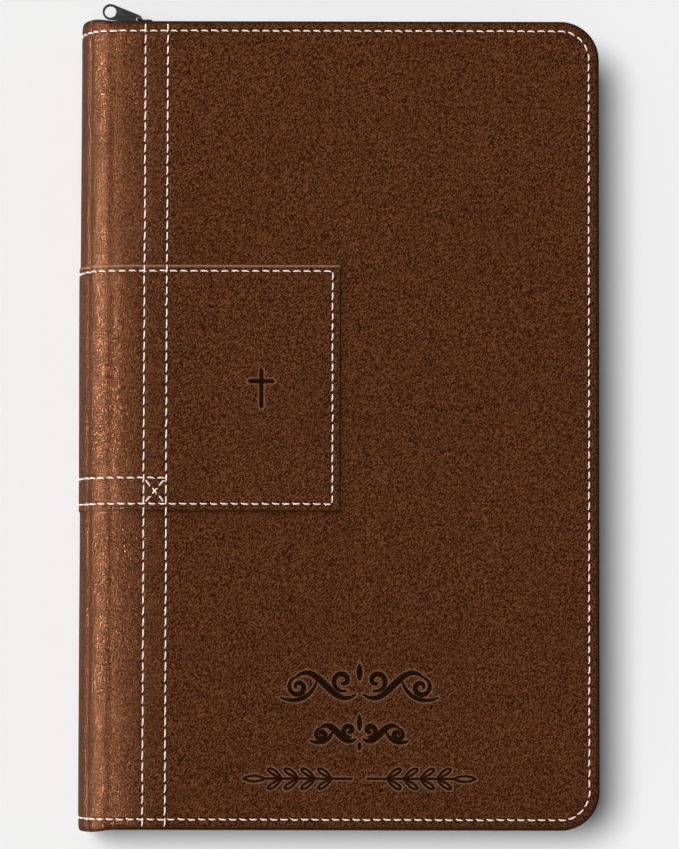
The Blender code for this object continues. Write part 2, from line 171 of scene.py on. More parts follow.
def edge_route(inset, step, left=U_MID):
    """Round the sheet's open edges at an inset: points from the head, past the fore-edge, to the tail."""
    radius = CORNER_RADIUS - inset
    turn_x, turn_y = FORE_X - CORNER_RADIUS, HALF_LENGTH - CORNER_RADIUS
    turns = max(8, round(math.pi / 2 * CORNER_RADIUS / step))
    angles = np.linspace(math.pi / 2, 0.0, turns + 1)
    straight = np.linspace(left, turn_x, round((turn_x - left) / step) + 1)[:-1]
    side = np.linspace(turn_y, -turn_y, round(2 * turn_y / step) + 1)[1:-1]
    head = np.stack([straight, np.full_like(straight, HALF_LENGTH - inset)], axis=1)
    turn = np.stack([turn_x + radius * np.cos(angles), turn_y + radius * np.sin(angles)], axis=1)
    fore = np.stack([np.full_like(side, FORE_X - inset), side], axis=1)
    upper = np.concatenate([head, turn])
    lower = upper[::-1] * np.array([1.0, -1.0])
    return np.concatenate([upper, fore, lower])


def edge_distance(u, y):
    """How far a point of the sheet is from its nearest open edge."""
    over_x = u - (FORE_X - CORNER_RADIUS)
    over_y = np.abs(y) - (HALF_LENGTH - CORNER_RADIUS)
    round_corner = CORNER_RADIUS - np.hypot(np.clip(over_x, 0, None), np.clip(over_y, 0, None))
    inner = np.minimum(-over_x, -over_y) + CORNER_RADIUS
    return np.where((over_x > 0) & (over_y > 0), round_corner, inner)


# ---- stitches

STITCH_LENGTH = 0.00235
PULL_DEPTH = 0.00014
PIT_DEPTH = 0.00028
DIP_REACH = 0.0022
DIP_WIDTH = 0.0035


class Stitches:
    """Where the stitches of one piece go, and the dips and holes that they pull into the sheet."""

    def __init__(self):
        self.ends = []

    def line(self, start, end, pitch, length=STITCH_LENGTH):
        start, end = np.array(start, float), np.array(end, float)
        run = np.linalg.norm(end - start)
        count = max(1, round(run / pitch))
        along = (end - start) / run
        for number in range(count):
            centre = start + along * run * (number + 0.5) / count
            self.add(centre, along, min(length, run / count * 0.8))

    def route(self, points, pitch):
        steps = np.linalg.norm(np.diff(points, axis=0), axis=1)
        travelled = np.concatenate(([0.0], np.cumsum(steps)))

        def at(place):
            return np.array([np.interp(place, travelled, points[:, k]) for k in (0, 1)])

        count = round(travelled[-1] / pitch)
        for number in range(count):
            place = travelled[-1] * (number + 0.5) / count
            along = at(min(place + 0.001, travelled[-1])) - at(max(place - 0.001, 0.0))
            self.add(at(place), along / np.linalg.norm(along), STITCH_LENGTH)

    def add(self, centre, along, length):
        """One stitch, a little uneven in its length, lean and place."""
        across = np.array([-along[1], along[0]])
        half = length / 2 * RANDOM.uniform(0.94, 1.04)
        lean = RANDOM.normal(0.0, 0.00004)
        shift = across * RANDOM.normal(0.0, 0.00003)
        start = centre - along * half + across * lean + shift
        self.ends.append((start, centre + along * half - across * lean + shift))

    def dips(self, u, y):
        """Depth of the groove round each stitch, with its two holes, and the painted shade in the holes and
        along the groove.
        """
        groove, stitch_shade = np.zeros(len(u)), np.zeros(len(u))
        points = np.stack([u, y], axis=1)
        order = np.argsort(y)
        sorted_y = y[order]
        for start, end in self.ends:
            low, high = min(start[1], end[1]) - DIP_REACH, max(start[1], end[1]) + DIP_REACH
            first, last = np.searchsorted(sorted_y, (low, high))
            near = order[first:last]
            near = near[np.abs(points[near, 0] - (start[0] + end[0]) / 2) < DIP_WIDTH]
            if not len(near):
                continue
            offset = points[near] - start
            direction = end - start
            t = np.clip(offset @ direction / (direction @ direction), 0.0, 1.0)
            apart = np.linalg.norm(offset - t[:, None] * direction, axis=1)
            from_start = np.linalg.norm(offset, axis=1)
            from_end = np.linalg.norm(points[near] - end, axis=1)
            pull = PULL_DEPTH * np.exp(-((apart / 0.0009) ** 2))
            pit = np.exp(-((np.minimum(from_start, from_end) / 0.00036) ** 2))
            groove_shade = 0.42 * np.exp(-((apart / 0.00062) ** 2))
            groove[near] = np.maximum(groove[near], pull + PIT_DEPTH * pit)
            # Painted shade in the stitch's two holes and along the groove round it.
            stitch_shade[near] = np.maximum(stitch_shade[near], np.maximum(pit, groove_shade))
        return groove, stitch_shade


def pulled_by(rows, u, y):
    """The deepest groove and the strongest painted shade of holes and grooves that any row of stitches
    makes at each point.
    """
    dips = [row.dips(u, y) for row in rows] or [(np.zeros(len(u)), np.zeros(len(u)))]
    return [np.maximum.reduce(part) for part in zip(*dips)]


def stitch_mesh(name, stitches, base, finish):
    """Every stitch as a short arched thread. base gives the sheet's height at a point."""
    rings, sides = 9, 7
    around = np.arange(sides) * math.tau / sides
    t = np.linspace(0.0, 1.0, rings)
    arch = np.clip(np.sin(math.pi * t), 0.0, 1.0)
    rise = THREAD_RADIUS * (1.15 * arch**0.45 - 0.75)
    thickness = THREAD_RADIUS * (0.52 + 0.38 * arch**0.4)
    hook = -0.00026 * smoothstep(t, 0.70, 1.0)
    points, faces, twist = [], [], []
    for start, end in stitches.ends:
        direction = end - start
        length = np.linalg.norm(direction)
        across = np.array([-direction[1], direction[0]]) / length
        offset = len(points) * rings * sides
        centre = start + t[:, None] * direction + hook[:, None] * across
        sideways = np.cos(around)[None, :] * thickness[:, None]
        upwards = np.sin(around)[None, :] * thickness[:, None] + rise[:, None]
        u = centre[:, None, 0] + across[0] * sideways
        y = centre[:, None, 1] + across[1] * sideways
        lift = base(centre[:, 0], centre[:, 1])
        points.append(wrap(u.ravel(), y.ravel(), (lift[:, None] + upwards).ravel()))
        faces += flipped(offset_faces(grid_faces(rings, sides, close_columns=True), offset))
        faces.append(tuple(offset + i for i in range(sides)))
        faces.append(tuple(reversed([offset + (rings - 1) * sides + i for i in range(sides)])))
        along = np.repeat(t * length, sides)
        turn = np.tile(np.arange(sides) / sides, rings)
        twist.append(np.stack([along, turn, np.full(rings * sides, RANDOM.random())], axis=1))
    return new_mesh(name, np.concatenate(points), faces, finish, {"twist": np.concatenate(twist)})


# ---- debossed ornaments


def bezier(p0, p1, p2, p3, steps):
    t = np.linspace(0.0, 1.0, steps)[:, None]
    p0, p1, p2, p3 = (np.array(p, float) for p in (p0, p1, p2, p3))
    return (1 - t) ** 3 * p0 + 3 * (1 - t) ** 2 * t * p1 + 3 * (1 - t) * t**2 * p2 + t**3 * p3


def spiral(centre, start_radius, end_radius, start, end, steps=40):
    t = np.linspace(0.0, 1.0, steps)
    angle = start + (end - start) * t
    radius = start_radius + (end_radius - start_radius) * t
    return np.stack([centre[0] + radius * np.cos(angle), centre[1] + radius * np.sin(angle)], axis=1)


def swelling(points, thin, thick):
    """Half widths along a stroke that is thin at both ends and thick between them."""
    t = np.linspace(0.0, 1.0, len(points))
    return thin + (thick - thin) * np.sin(math.pi * t) ** 0.8


def mirrored(strokes, x):
    """The strokes and their mirror images in the line at x."""
    return strokes + [(np.stack([2 * x - p[:, 0], p[:, 1]], axis=1), w) for p, w in strokes]


def cross_strokes(centre):
    """A plain upright cross."""
    x, y = centre
    half = np.full(2, 0.00055)
    upright = np.array([[x, y + 0.0055], [x, y - 0.0055]])
    bar = np.array([[x - 0.0034, y + 0.0022], [x + 0.0034, y + 0.0022]])
    return [(upright, half), (bar, half)]


def scroll(origin, size):
    """The right half of one row of scrolls, in swelling pen strokes."""
    x, y = origin

    def at(right, up):
        return x + right * size, y + up * size

    start = (x + 0.0012, y - 0.0030 * size)
    body = bezier(start, at(0.0085, -0.0085), at(0.0125, 0.0085), at(0.0195, 0.0022), 30)
    curl = spiral(at(0.0188, -0.0008), 0.0031 * size, 0.0007 * size, 1.35, -6.6)
    inner = spiral(at(0.0052, 0.0012), 0.0033 * size, 0.0007 * size, -1.9, 5.2)
    tail = bezier(at(0.0130, 0.0010), at(0.0150, -0.0045), at(0.0195, -0.0058), at(0.0240, -0.0040), 20)
    shares = ((body, 1.0), (curl, 0.75), (inner, 0.8), (tail, 0.6))
    return [(line, swelling(line, 0.00020, 0.00092 * share)) for line, share in shares]


def scroll_strokes(centre):
    """Two rows of mirrored scrolls, the lower one smaller, with drops between their halves."""
    x, y = centre
    half = scroll((x, y + 0.0072), 1.0) + scroll((x, y - 0.0075), 0.62)
    drops = []
    for top, bottom, width in (
        (0.0135, 0.0085, 0.00085),
        (-0.0020, -0.0068, 0.0007),
        (-0.0105, -0.0128, 0.0005),
    ):
        line = np.stack([np.full(9, x), y + np.linspace(top, bottom, 9)], axis=1)
        drops.append((line, swelling(line, 0.0001, width)))
    return mirrored(half, x) + drops


def leaf(x, y, side):
    """The outline of one leaf, from its root out to its tip and back."""

    def at(right, out):
        return x + right, y + side * out

    root, tip = (x, y), at(0.0041, 0.0030)
    upper = bezier(root, at(0.0010, 0.0020), at(0.0030, 0.0036), tip, 9)
    lower = bezier(tip, at(0.0044, 0.0020), at(0.0022, 0.0010), root, 9)
    return np.concatenate([upper, lower[1:]])


def sprig_strokes(centre):
    """A divider of two leafy stems that point away from each other."""
    x, y = centre
    lines = [np.array([[x + 0.0024, y], [x + 0.0293, y]])]
    lines += [leaf(x + 0.0085 + 0.0051 * n, y, side) for n in range(4) for side in (1, -1)]
    start, tip = (x + 0.0290, y), (x + 0.0355, y)
    upper = bezier(start, (x + 0.0305, y + 0.0011), (x + 0.0335, y + 0.0012), tip, 9)
    lower = bezier(tip, (x + 0.0335, y - 0.0012), (x + 0.0305, y - 0.0011), start, 9)
    lines.append(np.concatenate([upper, lower[1:]]))
    return mirrored([(line, np.full(len(line), 0.00025)) for line in lines], x)


def extent(strokes, margin):
    """The corners of the box round the strokes, with a margin."""
    every = np.concatenate([line for line, _ in strokes])
    return every.min(0) - margin, every.max(0) + margin


def stroke_distance(strokes, u, y):
    """Distance of each point outside the nearest stroke's edge, negative inside it."""
    nearest = np.full(len(u), 1.0)
    points = np.stack([u, y], axis=1)
    for line, half in strokes:
        low, high = line.min(0) - 0.002, line.max(0) + 0.002
        near = np.nonzero(((points > low) & (points < high)).all(1))[0]
        for start, end, w0, w1 in zip(line[:-1], line[1:], half[:-1], half[1:]):
            direction = end - start
            offset = points[near] - start
            t = np.clip(offset @ direction / max(direction @ direction, 1e-12), 0.0, 1.0)
            apart = np.linalg.norm(offset - t[:, None] * direction, axis=1) - (w0 + (w1 - w0) * t)
            nearest[near] = np.minimum(nearest[near], apart)
    return nearest


COVER_CENTRE = 0.0065
TITLE_CENTRE = (-0.0238, 0.0107)
SPRIG_CENTRE = (COVER_CENTRE, -0.1087)
SCROLL_CENTRE = (COVER_CENTRE, -0.0872)
DEBOSS_DEPTH = 0.00040
DEBOSS_RIM = 0.00007


def deboss(strokes, u, y):
    """Depth and darkness of the pressed-in ornaments, and how far their rims stand up."""
    apart = stroke_distance(strokes, u, y)
    depth = DEBOSS_DEPTH * (1.0 - smoothstep(apart, -0.00012, 0.00022))
    rim = np.exp(-(((apart - 0.00036) / 0.00016) ** 2))
    return depth - DEBOSS_RIM * rim, 1.0 - smoothstep(apart, -0.00006, 0.00014), rim


# ---- materials

SHEET_PITCH = 0.00016


class Nodes:
    """A short way to build a material's node tree."""

    def __init__(self, name):
        self.material = bpy.data.materials.new(name)
        self.material.use_nodes = True
        self.tree = self.material.node_tree
        self.shader = self.tree.nodes["Principled BSDF"]

    def add(self, kind, inputs=None, **settings):
        node = self.tree.nodes.new("ShaderNode" + kind)
        for key, value in settings.items():
            setattr(node, key, value)
        for key, value in (inputs or {}).items():
            self.feed(node.inputs[key], value)
        return node

    def feed(self, socket, value):
        if isinstance(value, bpy.types.NodeSocket):
            self.tree.links.new(value, socket)
        elif socket.type == "RGBA":
            socket.default_value = (*value, 1.0)
        else:
            socket.default_value = value

    def attribute(self, name, output="Vector"):
        return self.add("Attribute", attribute_name=name).outputs[output]

    def place(self):
        """The object's own coordinates, in metres."""
        return self.add("TexCoord").outputs["Object"]

    def scaled(self, vector, scale, turn=0.0):
        inputs = {"Vector": vector, "Scale": scale, "Rotation": (0.0, 0.0, turn)}
        return self.add("Mapping", inputs).outputs["Vector"]

    def stretched(self, vector, factor, turn):
        """The vector with its texture drawn out by a factor along a direction turned from Y, in degrees."""
        inputs = {"Vector": vector, "Scale": (1.0, factor, 1.0), "Rotation": (0.0, 0.0, math.radians(turn))}
        return self.add("Mapping", inputs, vector_type="TEXTURE").outputs["Vector"]

    def noise(self, vector, scale, detail=2.0, roughness=0.5):
        inputs = {"Vector": vector, "Scale": scale, "Detail": detail, "Roughness": roughness}
        return self.add("TexNoise", inputs).outputs["Fac"]

    def cells(self, vector, scale, feature, randomness):
        inputs = {"Vector": vector, "Scale": scale, "Randomness": randomness}
        return self.add("TexVoronoi", inputs, feature=feature).outputs["Distance"]

    def math(self, operation, a, b=0.0, clamp=False):
        return self.add("Math", {0: a, 1: b}, operation=operation, use_clamp=clamp).outputs[0]

    def times(self, a, b):
        return self.math("MULTIPLY", a, b)

    def plus(self, a, b):
        return self.math("ADD", a, b)

    def ramp(self, value, low, high, to_low=0.0, to_high=1.0):
        inputs = {"Value": value, "From Min": low, "From Max": high, "To Min": to_low, "To Max": to_high}
        return self.add("MapRange", inputs).outputs["Result"]

    def mix(self, factor, a, b, blend="MIX"):
        return self.add("Mix", {0: factor, 6: a, 7: b}, data_type="RGBA", blend_type=blend).outputs[2]

    def bump(self, height, distance, strength=1.0):
        inputs = {"Height": height, "Distance": distance, "Strength": strength}
        return self.add("Bump", inputs).outputs["Normal"]

    def finish(self, **sockets):
        """Feeds the shader's sockets, named in lower case, and gives back the material."""
        for key, value in sockets.items():
            name = key.replace("_", " ").title().replace("Ior", "IOR")
            self.feed(self.shader.inputs[name], value)
        return self.material


def leather_material(name, dark, light):
    """Fine pebbled grain with short diagonal creases, mottled brown.

    One point attribute darkens and smooths pressed places, and also paints shade in stitch holes and
    grooves, along the spine's fold, on the rolled edges (partly edge paint) and beside and on the raised
    panel's right and tail edges. Another lightens the ornaments' raised rims, partly as rub and partly as a
    painted highlight, and paints a highlight along the panel's head edge.
    """
    m = Nodes(name)
    sheet = m.attribute("sheet")
    burn = m.attribute("burn", "Fac")
    wear = m.attribute("wear", "Fac")
    wander = m.add("TexNoise", {"Vector": sheet, "Scale": 600.0, "Detail": 1.0}).outputs["Color"]
    warped = m.add("VectorMath", {0: sheet, 1: m.scaled(wander, (0.0009,) * 3)}, operation="ADD").outputs[0]
    creases = m.noise(m.stretched(warped, 2.3, -42.0), 2800.0, 0.0, 0.5)
    cross_creases = m.noise(m.stretched(warped, 1.6, 35.0), 2600.0, 0.0, 0.5)
    pebbles = m.cells(m.stretched(warped, 1.35, -30.0), 1900.0, "DISTANCE_TO_EDGE", 1.0)
    lean = m.ramp(m.noise(sheet, 95.0, 2.0, 0.5), 0.48, 0.72)
    lines = m.add("Mix", {0: lean, 2: creases, 3: cross_creases}, data_type="FLOAT").outputs[0]
    grained = m.plus(m.ramp(lines, 0.30, 0.70, -0.6, 0.6), m.ramp(pebbles, 0.0, 0.30, -0.30, 0.24))
    soft = m.ramp(m.noise(sheet, 190.0, 2.0, 0.5), 0.35, 0.65, 0.60, 1.0)
    height = m.times(m.times(grained, soft), m.math("SUBTRACT", 1.0, burn))
    colour = m.mix(m.ramp(m.noise(sheet, 26.0, 3.0, 0.55), 0.30, 0.72), dark, light)
    olive = m.noise(sheet, 240.0, 2.0, 0.5)
    colour = m.mix(m.ramp(olive, 0.50, 0.70, 0.0, 0.30), colour, (0.0655, 0.0240, 0.0072))
    # Grain tone and painted light together: valleys darkened as painted shade, ridges lightened and greyed
    # as a painted sheen.
    shade = m.mix(m.ramp(height, -0.34, 0.34), (0.26, 0.20, 0.17), (1.56, 1.83, 2.24))
    colour = m.mix(1.0, colour, shade, "MULTIPLY")
    # Lighter rims: partly rub, partly painted highlight.
    colour = m.mix(m.times(wear, 0.9), colour, (0.27, 0.150, 0.095))
    # Near black: pressed places, edge paint, and painted shade at stitches, the fold, the rolled edges and
    # the panel.
    colour = m.mix(m.times(burn, 0.96), colour, (0.0045, 0.0015, 0.0007))
    rough = m.plus(m.ramp(height, -0.8, 0.8, 0.38, 0.31), m.times(burn, 0.3))
    return m.finish(
        base_color=colour,
        roughness=rough,
        normal=m.bump(height, 0.00013, 1.0),
        specular_ior_level=0.45,
        specular_tint=(1.0, 0.42, 0.21),
    )


def thread_material():
    """Two-ply cream thread with a diagonal twist and a little fuzz."""
    m = Nodes("cream_thread")
    twist = m.attribute("twist")
    parts = m.add("SeparateXYZ", {"Vector": twist})
    turn = m.plus(m.times(parts.outputs["X"], 2300.0), parts.outputs["Y"])
    ply = m.math("SINE", m.times(turn, math.tau))
    fuzz = m.noise(twist, 3500.0, 2.0)
    height = m.plus(ply, m.times(fuzz, 0.6))
    shade = m.ramp(height, -1.0, 1.4)
    colour = m.mix(shade, (0.78, 0.60, 0.50), (1.0, 0.90, 0.82))
    colour = m.mix(m.ramp(parts.outputs["Z"], 0.0, 1.0, 0.0, 0.25), colour, (0.85, 0.70, 0.60))
    return m.finish(
        base_color=colour, roughness=0.7, normal=m.bump(height, 0.00005, 0.8), sheen_weight=0.25
    )


def paper_material(name, tint):
    """Fibrous paper, with the lines of its stacked sheets on upright faces."""
    m = Nodes(name)
    place = m.place()

    def darker(share):
        return tuple(c * share for c in tint)

    fibre = m.noise(place, 900.0, 4.0, 0.6)
    cloud = m.noise(place, 30.0, 2.0)
    colour = m.mix(m.ramp(fibre, 0.3, 0.7), darker(0.93), tint)
    colour = m.mix(m.ramp(cloud, 0.35, 0.7, 0.0, 0.25), colour, darker(0.88))
    upright = m.add("SeparateXYZ", {"Vector": place}).outputs["Z"]
    jitter = m.noise(m.scaled(place, (6.0, 6.0, 900.0)), 1.0, 2.0)
    sheets = m.math("SINE", m.times(upright, math.tau / SHEET_PITCH))
    facing = m.add("SeparateXYZ", {"Vector": m.add("NewGeometry").outputs["Normal"]})
    edge = m.ramp(m.math("ABSOLUTE", facing.outputs["Z"]), 0.35, 0.75, 1.0, 0.0)
    lines = m.times(m.plus(m.times(sheets, 0.5), jitter), edge)
    colour = m.mix(m.math("MULTIPLY", m.ramp(lines, 0.0, 1.0), 0.45, True), colour, darker(0.55))
    height = m.plus(m.times(fibre, 0.25), lines)
    return m.finish(base_color=colour, roughness=0.85, normal=m.bump(height, 0.00004, 0.6))


def endpaper_material():
    m = Nodes("endpaper")
    place = m.place()
    fibre = m.noise(m.scaled(place, (1.0, 0.35, 1.0)), 1600.0, 4.0, 0.65)
    emboss = m.cells(place, 900.0, "F1", 0.8)
    colour = m.mix(m.ramp(fibre, 0.3, 0.7), (0.045, 0.022, 0.013), (0.075, 0.038, 0.023))
    height = m.plus(fibre, m.times(emboss, 0.7))
    return m.finish(base_color=colour, roughness=0.72, normal=m.bump(height, 0.00006, 0.7))


def woven_material(name, dark, light, pitch):
    """Ribbed weave that runs along the tape at its edges and across it up its height."""
    m = Nodes(name)
    place = m.place()
    parts = m.add("SeparateXYZ", {"Vector": place})
    along = m.plus(parts.outputs["X"], parts.outputs["Y"])
    bias = m.math("PINGPONG", parts.outputs["Z"], pitch * 1.5)
    warp = m.math("SINE", m.times(m.plus(along, bias), math.tau / pitch))
    weft = m.math("SINE", m.times(parts.outputs["Z"], math.tau / (pitch * 0.8)))
    weave = m.plus(warp, m.times(weft, 0.5))
    fuzz = m.noise(place, 3000.0, 2.0)
    height = m.plus(weave, fuzz)
    colour = m.mix(m.ramp(height, -1.0, 2.0), dark, light)
    return m.finish(
        base_color=colour, roughness=0.88, normal=m.bump(height, 0.00008, 0.8), sheen_weight=0.12
    )


def plastic_material():
    m = Nodes("zip_coil")
    place = m.place()
    scuff = m.noise(place, 700.0, 3.0)
    colour = m.mix(m.ramp(scuff, 0.4, 0.8), (0.013, 0.009, 0.008), (0.030, 0.022, 0.018))
    return m.finish(
        base_color=colour, roughness=m.ramp(scuff, 0.3, 0.8, 0.28, 0.5), normal=m.bump(scuff, 0.00002, 0.5)
    )


def metal_material():
    """Dark plated metal with fine scratches and small bright rubs."""
    m = Nodes("gunmetal")
    place = m.place()
    scratch = m.noise(m.scaled(place, (1.0, 0.06, 1.0), math.radians(20)), 5200.0, 3.0, 0.6)
    rub = m.noise(place, 420.0, 4.0, 0.7)
    colour = m.mix(m.ramp(rub, 0.48, 0.75), (0.20, 0.20, 0.205), (0.42, 0.41, 0.40))
    rough = m.ramp(m.plus(scratch, rub), 0.7, 1.3, 0.22, 0.45)
    return m.finish(
        base_color=colour, metallic=1.0, roughness=rough, normal=m.bump(scratch, 0.00002, 0.35)
    )


def board_material():
    m = Nodes("grey_board")
    place = m.place()
    fleck = m.noise(place, 1400.0, 4.0, 0.7)
    colour = m.mix(m.ramp(fleck, 0.35, 0.7), (0.25, 0.22, 0.18), (0.42, 0.38, 0.32))
    return m.finish(base_color=colour, roughness=0.9, normal=m.bump(fleck, 0.00006, 0.6))


def floor_material():
    m = Nodes("pale_floor")
    place = m.place()
    tone = m.noise(place, 3.0, 1.0)
    colour = m.mix(m.ramp(tone, 0.3, 0.7), (0.800, 0.800, 0.800), (0.806, 0.806, 0.806))
    return m.finish(base_color=colour, roughness=1.0, specular_ior_level=0.0)


LEATHER = leather_material("brown_leather", (0.0690, 0.0196, 0.0060), (0.0785, 0.0224, 0.0071))
PANEL_LEATHER = leather_material("brown_panel", (0.0700, 0.0200, 0.0064), (0.0795, 0.0228, 0.0075))
THREAD = thread_material()
PAGES = paper_material("page_paper", (0.68, 0.63, 0.53))
ENDPAPER = endpaper_material()
TAPE = woven_material("zip_tape", (0.014, 0.009, 0.007), (0.085, 0.058, 0.045), 0.0011)
BAND_CLOTH = woven_material("band_cloth", (0.35, 0.20, 0.11), (0.72, 0.60, 0.45), 0.0012)
COIL = plastic_material()
METAL = metal_material()
BOARD = board_material()

# ---- leather case

SEAM_STEP = 0.00027
# Strength of the painted shade along the spine's fold.
PAINTED_FOLD_SHADE = 0.32
SPINE_THINNING = 0.62
CAP_RISE = 0.0008
BACK_PANEL_REACH = 0.0135


def sew_seams(stitches):
    """Both seams, from the head to the tail."""
    for x in SEAM_XS:
        stitches.line((x, HALF_LENGTH - 0.0008), (x, 0.0008 - HALF_LENGTH), SEAM_PITCH, SEAM_STITCH)


def front_stitches():
    """Every stitch of the front cover and the upper half of the spine."""
    rows = {name: Stitches() for name in ("edge", "seam", "panel", "strap")}
    rows["edge"].route(edge_route(EDGE_INSET, 0.001), STITCH_PITCH)
    sew_seams(rows["seam"])
    head, tail, right = PANEL_STITCH_HEAD, PANEL_STITCH_TAIL, PANEL_STITCH_RIGHT
    corners = [(U_MID, head), (right, head), (right, tail), (U_MID, tail)]
    for start, end in zip(corners, corners[1:]):
        rows["panel"].line(start, end, STITCH_PITCH)
    strap = rows["strap"]
    strap.line((U_MID, STRAP_Y), (SEAM_XS[1], STRAP_Y), STITCH_PITCH)
    low, high = tail + 0.0004, STRAP_Y - 0.0004
    left, right = SEAM_XS[0] + 0.0004, SEAM_XS[1] - 0.0004
    strap.line((left, low), (right, high), STITCH_PITCH * 1.1)
    strap.line((left, high), (right, low), STITCH_PITCH * 1.1)
    return rows


def back_stitches():
    """Every stitch of the back cover and the lower half of the spine, laid out as on the front."""
    edge = Stitches()
    edge.route(edge_route(EDGE_INSET, 0.001), STITCH_PITCH)
    sew_seams(edge)
    return edge


def undulation(u, y):
    """Very shallow waves of a soft cover that isn't quite flat."""
    across = 0.00005 * np.sin(u * 71.0 + 1.3 * np.sin(y * 31.0))
    return across + 0.00004 * np.sin(y * 53.0 + u * 80.0)


def in_panel(u, y):
    return (u < PANEL_HIGH.x) & (y > PANEL_LOW.y) & (y < PANEL_HIGH.y)


def lattice(u_low, u_high, y_low, y_high, step_u, step_y):
    grid_u, grid_y = np.meshgrid(np.arange(u_low, u_high, step_u), np.arange(y_low, y_high, step_y))
    return np.stack([grid_u.ravel(), grid_y.ravel()], axis=1)


def sheet_points(ornaments):
    """Points of the sheet inside its edge band: a lattice, finer on the spine, at seams and ornaments."""
    right, half = FORE_X - BAND_INSET, HALF_LENGTH - BAND_INSET
    parts = [lattice(HINGE_X + 0.0005, right, -half, half, 0.0014, 0.0014)]
    parts.append(lattice(U_MID, HINGE_X + 0.0002, -half, half, 0.00055, 0.0016))
    for x in SEAM_XS:
        parts.append(lattice(x - 0.0013, x + 0.0014, -half, half, SEAM_STEP, 0.00034))
    if ornaments is not None:
        low, high = extent(ornaments, 0.001)
        fine = lattice(low[0], high[0], low[1], high[1], 0.00017, 0.00017)
        near = stroke_distance(ornaments, *fine.T) < 0.0007
        parts.append(fine[near & ~in_panel(*fine.T)])
    points = np.concatenate(parts)
    inside = edge_distance(*points.T) > BAND_INSET + 0.0004
    inside &= points[:, 0] > U_MID + 0.0002
    points = points[inside]
    _, first = np.unique(np.round(points / 0.00014).astype(int), axis=0, return_index=True)
    return points[np.sort(first)]


def band_profile():
    """(inset, height) across the rolled edge, from its turned-in side over the roll to the flat face."""
    under = [(0.0026, 0.0003 - RIM_DEPTH), (0.0015, -RIM_DEPTH)]
    under += [(0.0006, -RIM_DEPTH), (0.0001, 0.0002 - RIM_DEPTH)]
    angles = np.linspace(0.0, math.pi / 2, 11)
    roll = [(ROLL_INSET * (1 - math.cos(a)), -ROLL_DEPTH * (1 - math.sin(a) ** 0.85)) for a in angles]
    flat = [(d, 0.0) for d in np.arange(ROLL_INSET + 0.00025, BAND_INSET, 0.0003)]
    return np.array(under + roll + flat + [(BAND_INSET, 0.0)])


def case_half(name, rows, ornaments, mirror):
    """One cover's leather with its half of the spine, as one sheet with a rolled edge.

    The rows of stitches pull it in. A mirrored one is the back cover's.
    """
    profile = band_profile()
    loops = [edge_route(inset, 0.0005) for inset, _ in profile]
    count = len(loops[0])
    band_u = np.concatenate([loop[:, 0] for loop in loops])
    band_y = np.concatenate([loop[:, 1] for loop in loops])
    band_h = np.repeat(profile[:, 1], count)
    band_faces = grid_faces(len(profile), count)

    flat = sheet_points(ornaments)
    start = len(flat)
    flat_points = np.concatenate([flat, loops[-1]])
    close = [(start + i, start + (i + 1) % count) for i in range(count)]
    seen = geometry.delaunay_2d_cdt([Vector(p) for p in flat_points.tolist()], close, [], 1, 1e-7)
    inner = np.array([tuple(p) for p in seen[0]])
    rim_map = {old: new for new, olds in enumerate(seen[3]) for old in olds}

    base = len(band_u)
    u = np.concatenate([band_u, inner[:, 0]])
    y = np.concatenate([band_y, inner[:, 1]])
    h = np.concatenate([band_h, np.zeros(len(inner))])
    offset = {rim_map[start + i]: (len(profile) - 1) * count + i for i in range(count)}
    joined = [tuple(offset.get(i, i + base) for i in face) for face in seen[2]]

    top_side = h > -0.0015
    turned_in = h < -ROLL_DEPTH - 0.00001
    on_spine = smoothstep(HINGE_X - u, 0.0, 0.009)
    h = h * (1.0 - SPINE_THINNING * on_spine)
    near_end = smoothstep(np.abs(y), HALF_LENGTH - 0.0034, HALF_LENGTH - 0.0006)
    y = y + np.sign(y) * CAP_RISE * on_spine * near_end
    groove, stitch_shade = pulled_by(rows, u, y)
    h = h - groove * top_side + undulation(u, y) * smoothstep(edge_distance(u, y), 0.002, 0.02)
    h = h - hinge_crease(u) * top_side
    # Partly edge paint, partly painted shade: darker towards the rolled edge, near black on its turned-in
    # side.
    edge_paint_and_shade = np.where(turned_in, 1.0, 0.95 * (1.0 - smoothstep(edge_distance(u, y), 0.0001, 0.0016)))
    # Painted shade in the stitch holes and along their grooves.
    burn = np.maximum(stitch_shade * 0.8 * top_side, edge_paint_and_shade)
    # Painted shade along the spine's fold.
    burn = np.maximum(burn, PAINTED_FOLD_SHADE * spine_fold(u) * top_side)
    wear = np.zeros(len(u))
    if ornaments is not None:
        depth, dark, rim = deboss(ornaments, u, y)
        outside = ~in_panel(u, y)
        h = h - depth * outside
        # Lighter rims round the ornaments: partly rub, partly a painted highlight.
        wear = 0.5 * rim * outside
        burn = np.maximum(burn, dark * outside)
        # Painted shadow beside the raised panel's right and tail edges.
        burn = np.maximum(burn, panel_shadow(u, y) * top_side)
    points = wrap(u, y, h)
    faces = flipped(band_faces) + joined
    sheet = np.stack([u, y, np.zeros(len(u))], axis=1)
    if mirror:
        points[:, 2] = TOP_Z - points[:, 2]
        faces = flipped(faces)
        sheet[:, 0] += 0.5
    used = np.zeros(len(points), bool)
    used[[index for face in faces for index in face]] = True
    renumber = np.cumsum(used) - 1
    faces = [tuple(renumber[i] for i in face) for face in faces]
    attributes = {"sheet": sheet[used], "burn": burn[used], "wear": wear[used]}
    return new_mesh(name, points[used], faces, LEATHER, attributes)


def skived(u):
    """The panel's thickness as a share of its full one: thinner where it wraps the spine."""
    return PANEL_SKIVE + (1.0 - PANEL_SKIVE) * smoothstep(u, HINGE_X - 0.004, HINGE_X + 0.006)


def spine_fold(u):
    """1 along the fold that runs down the spine's shoulder."""
    return np.exp(-(((u - HINGE_X + SPINE_FOLD) / 0.0010) ** 2))


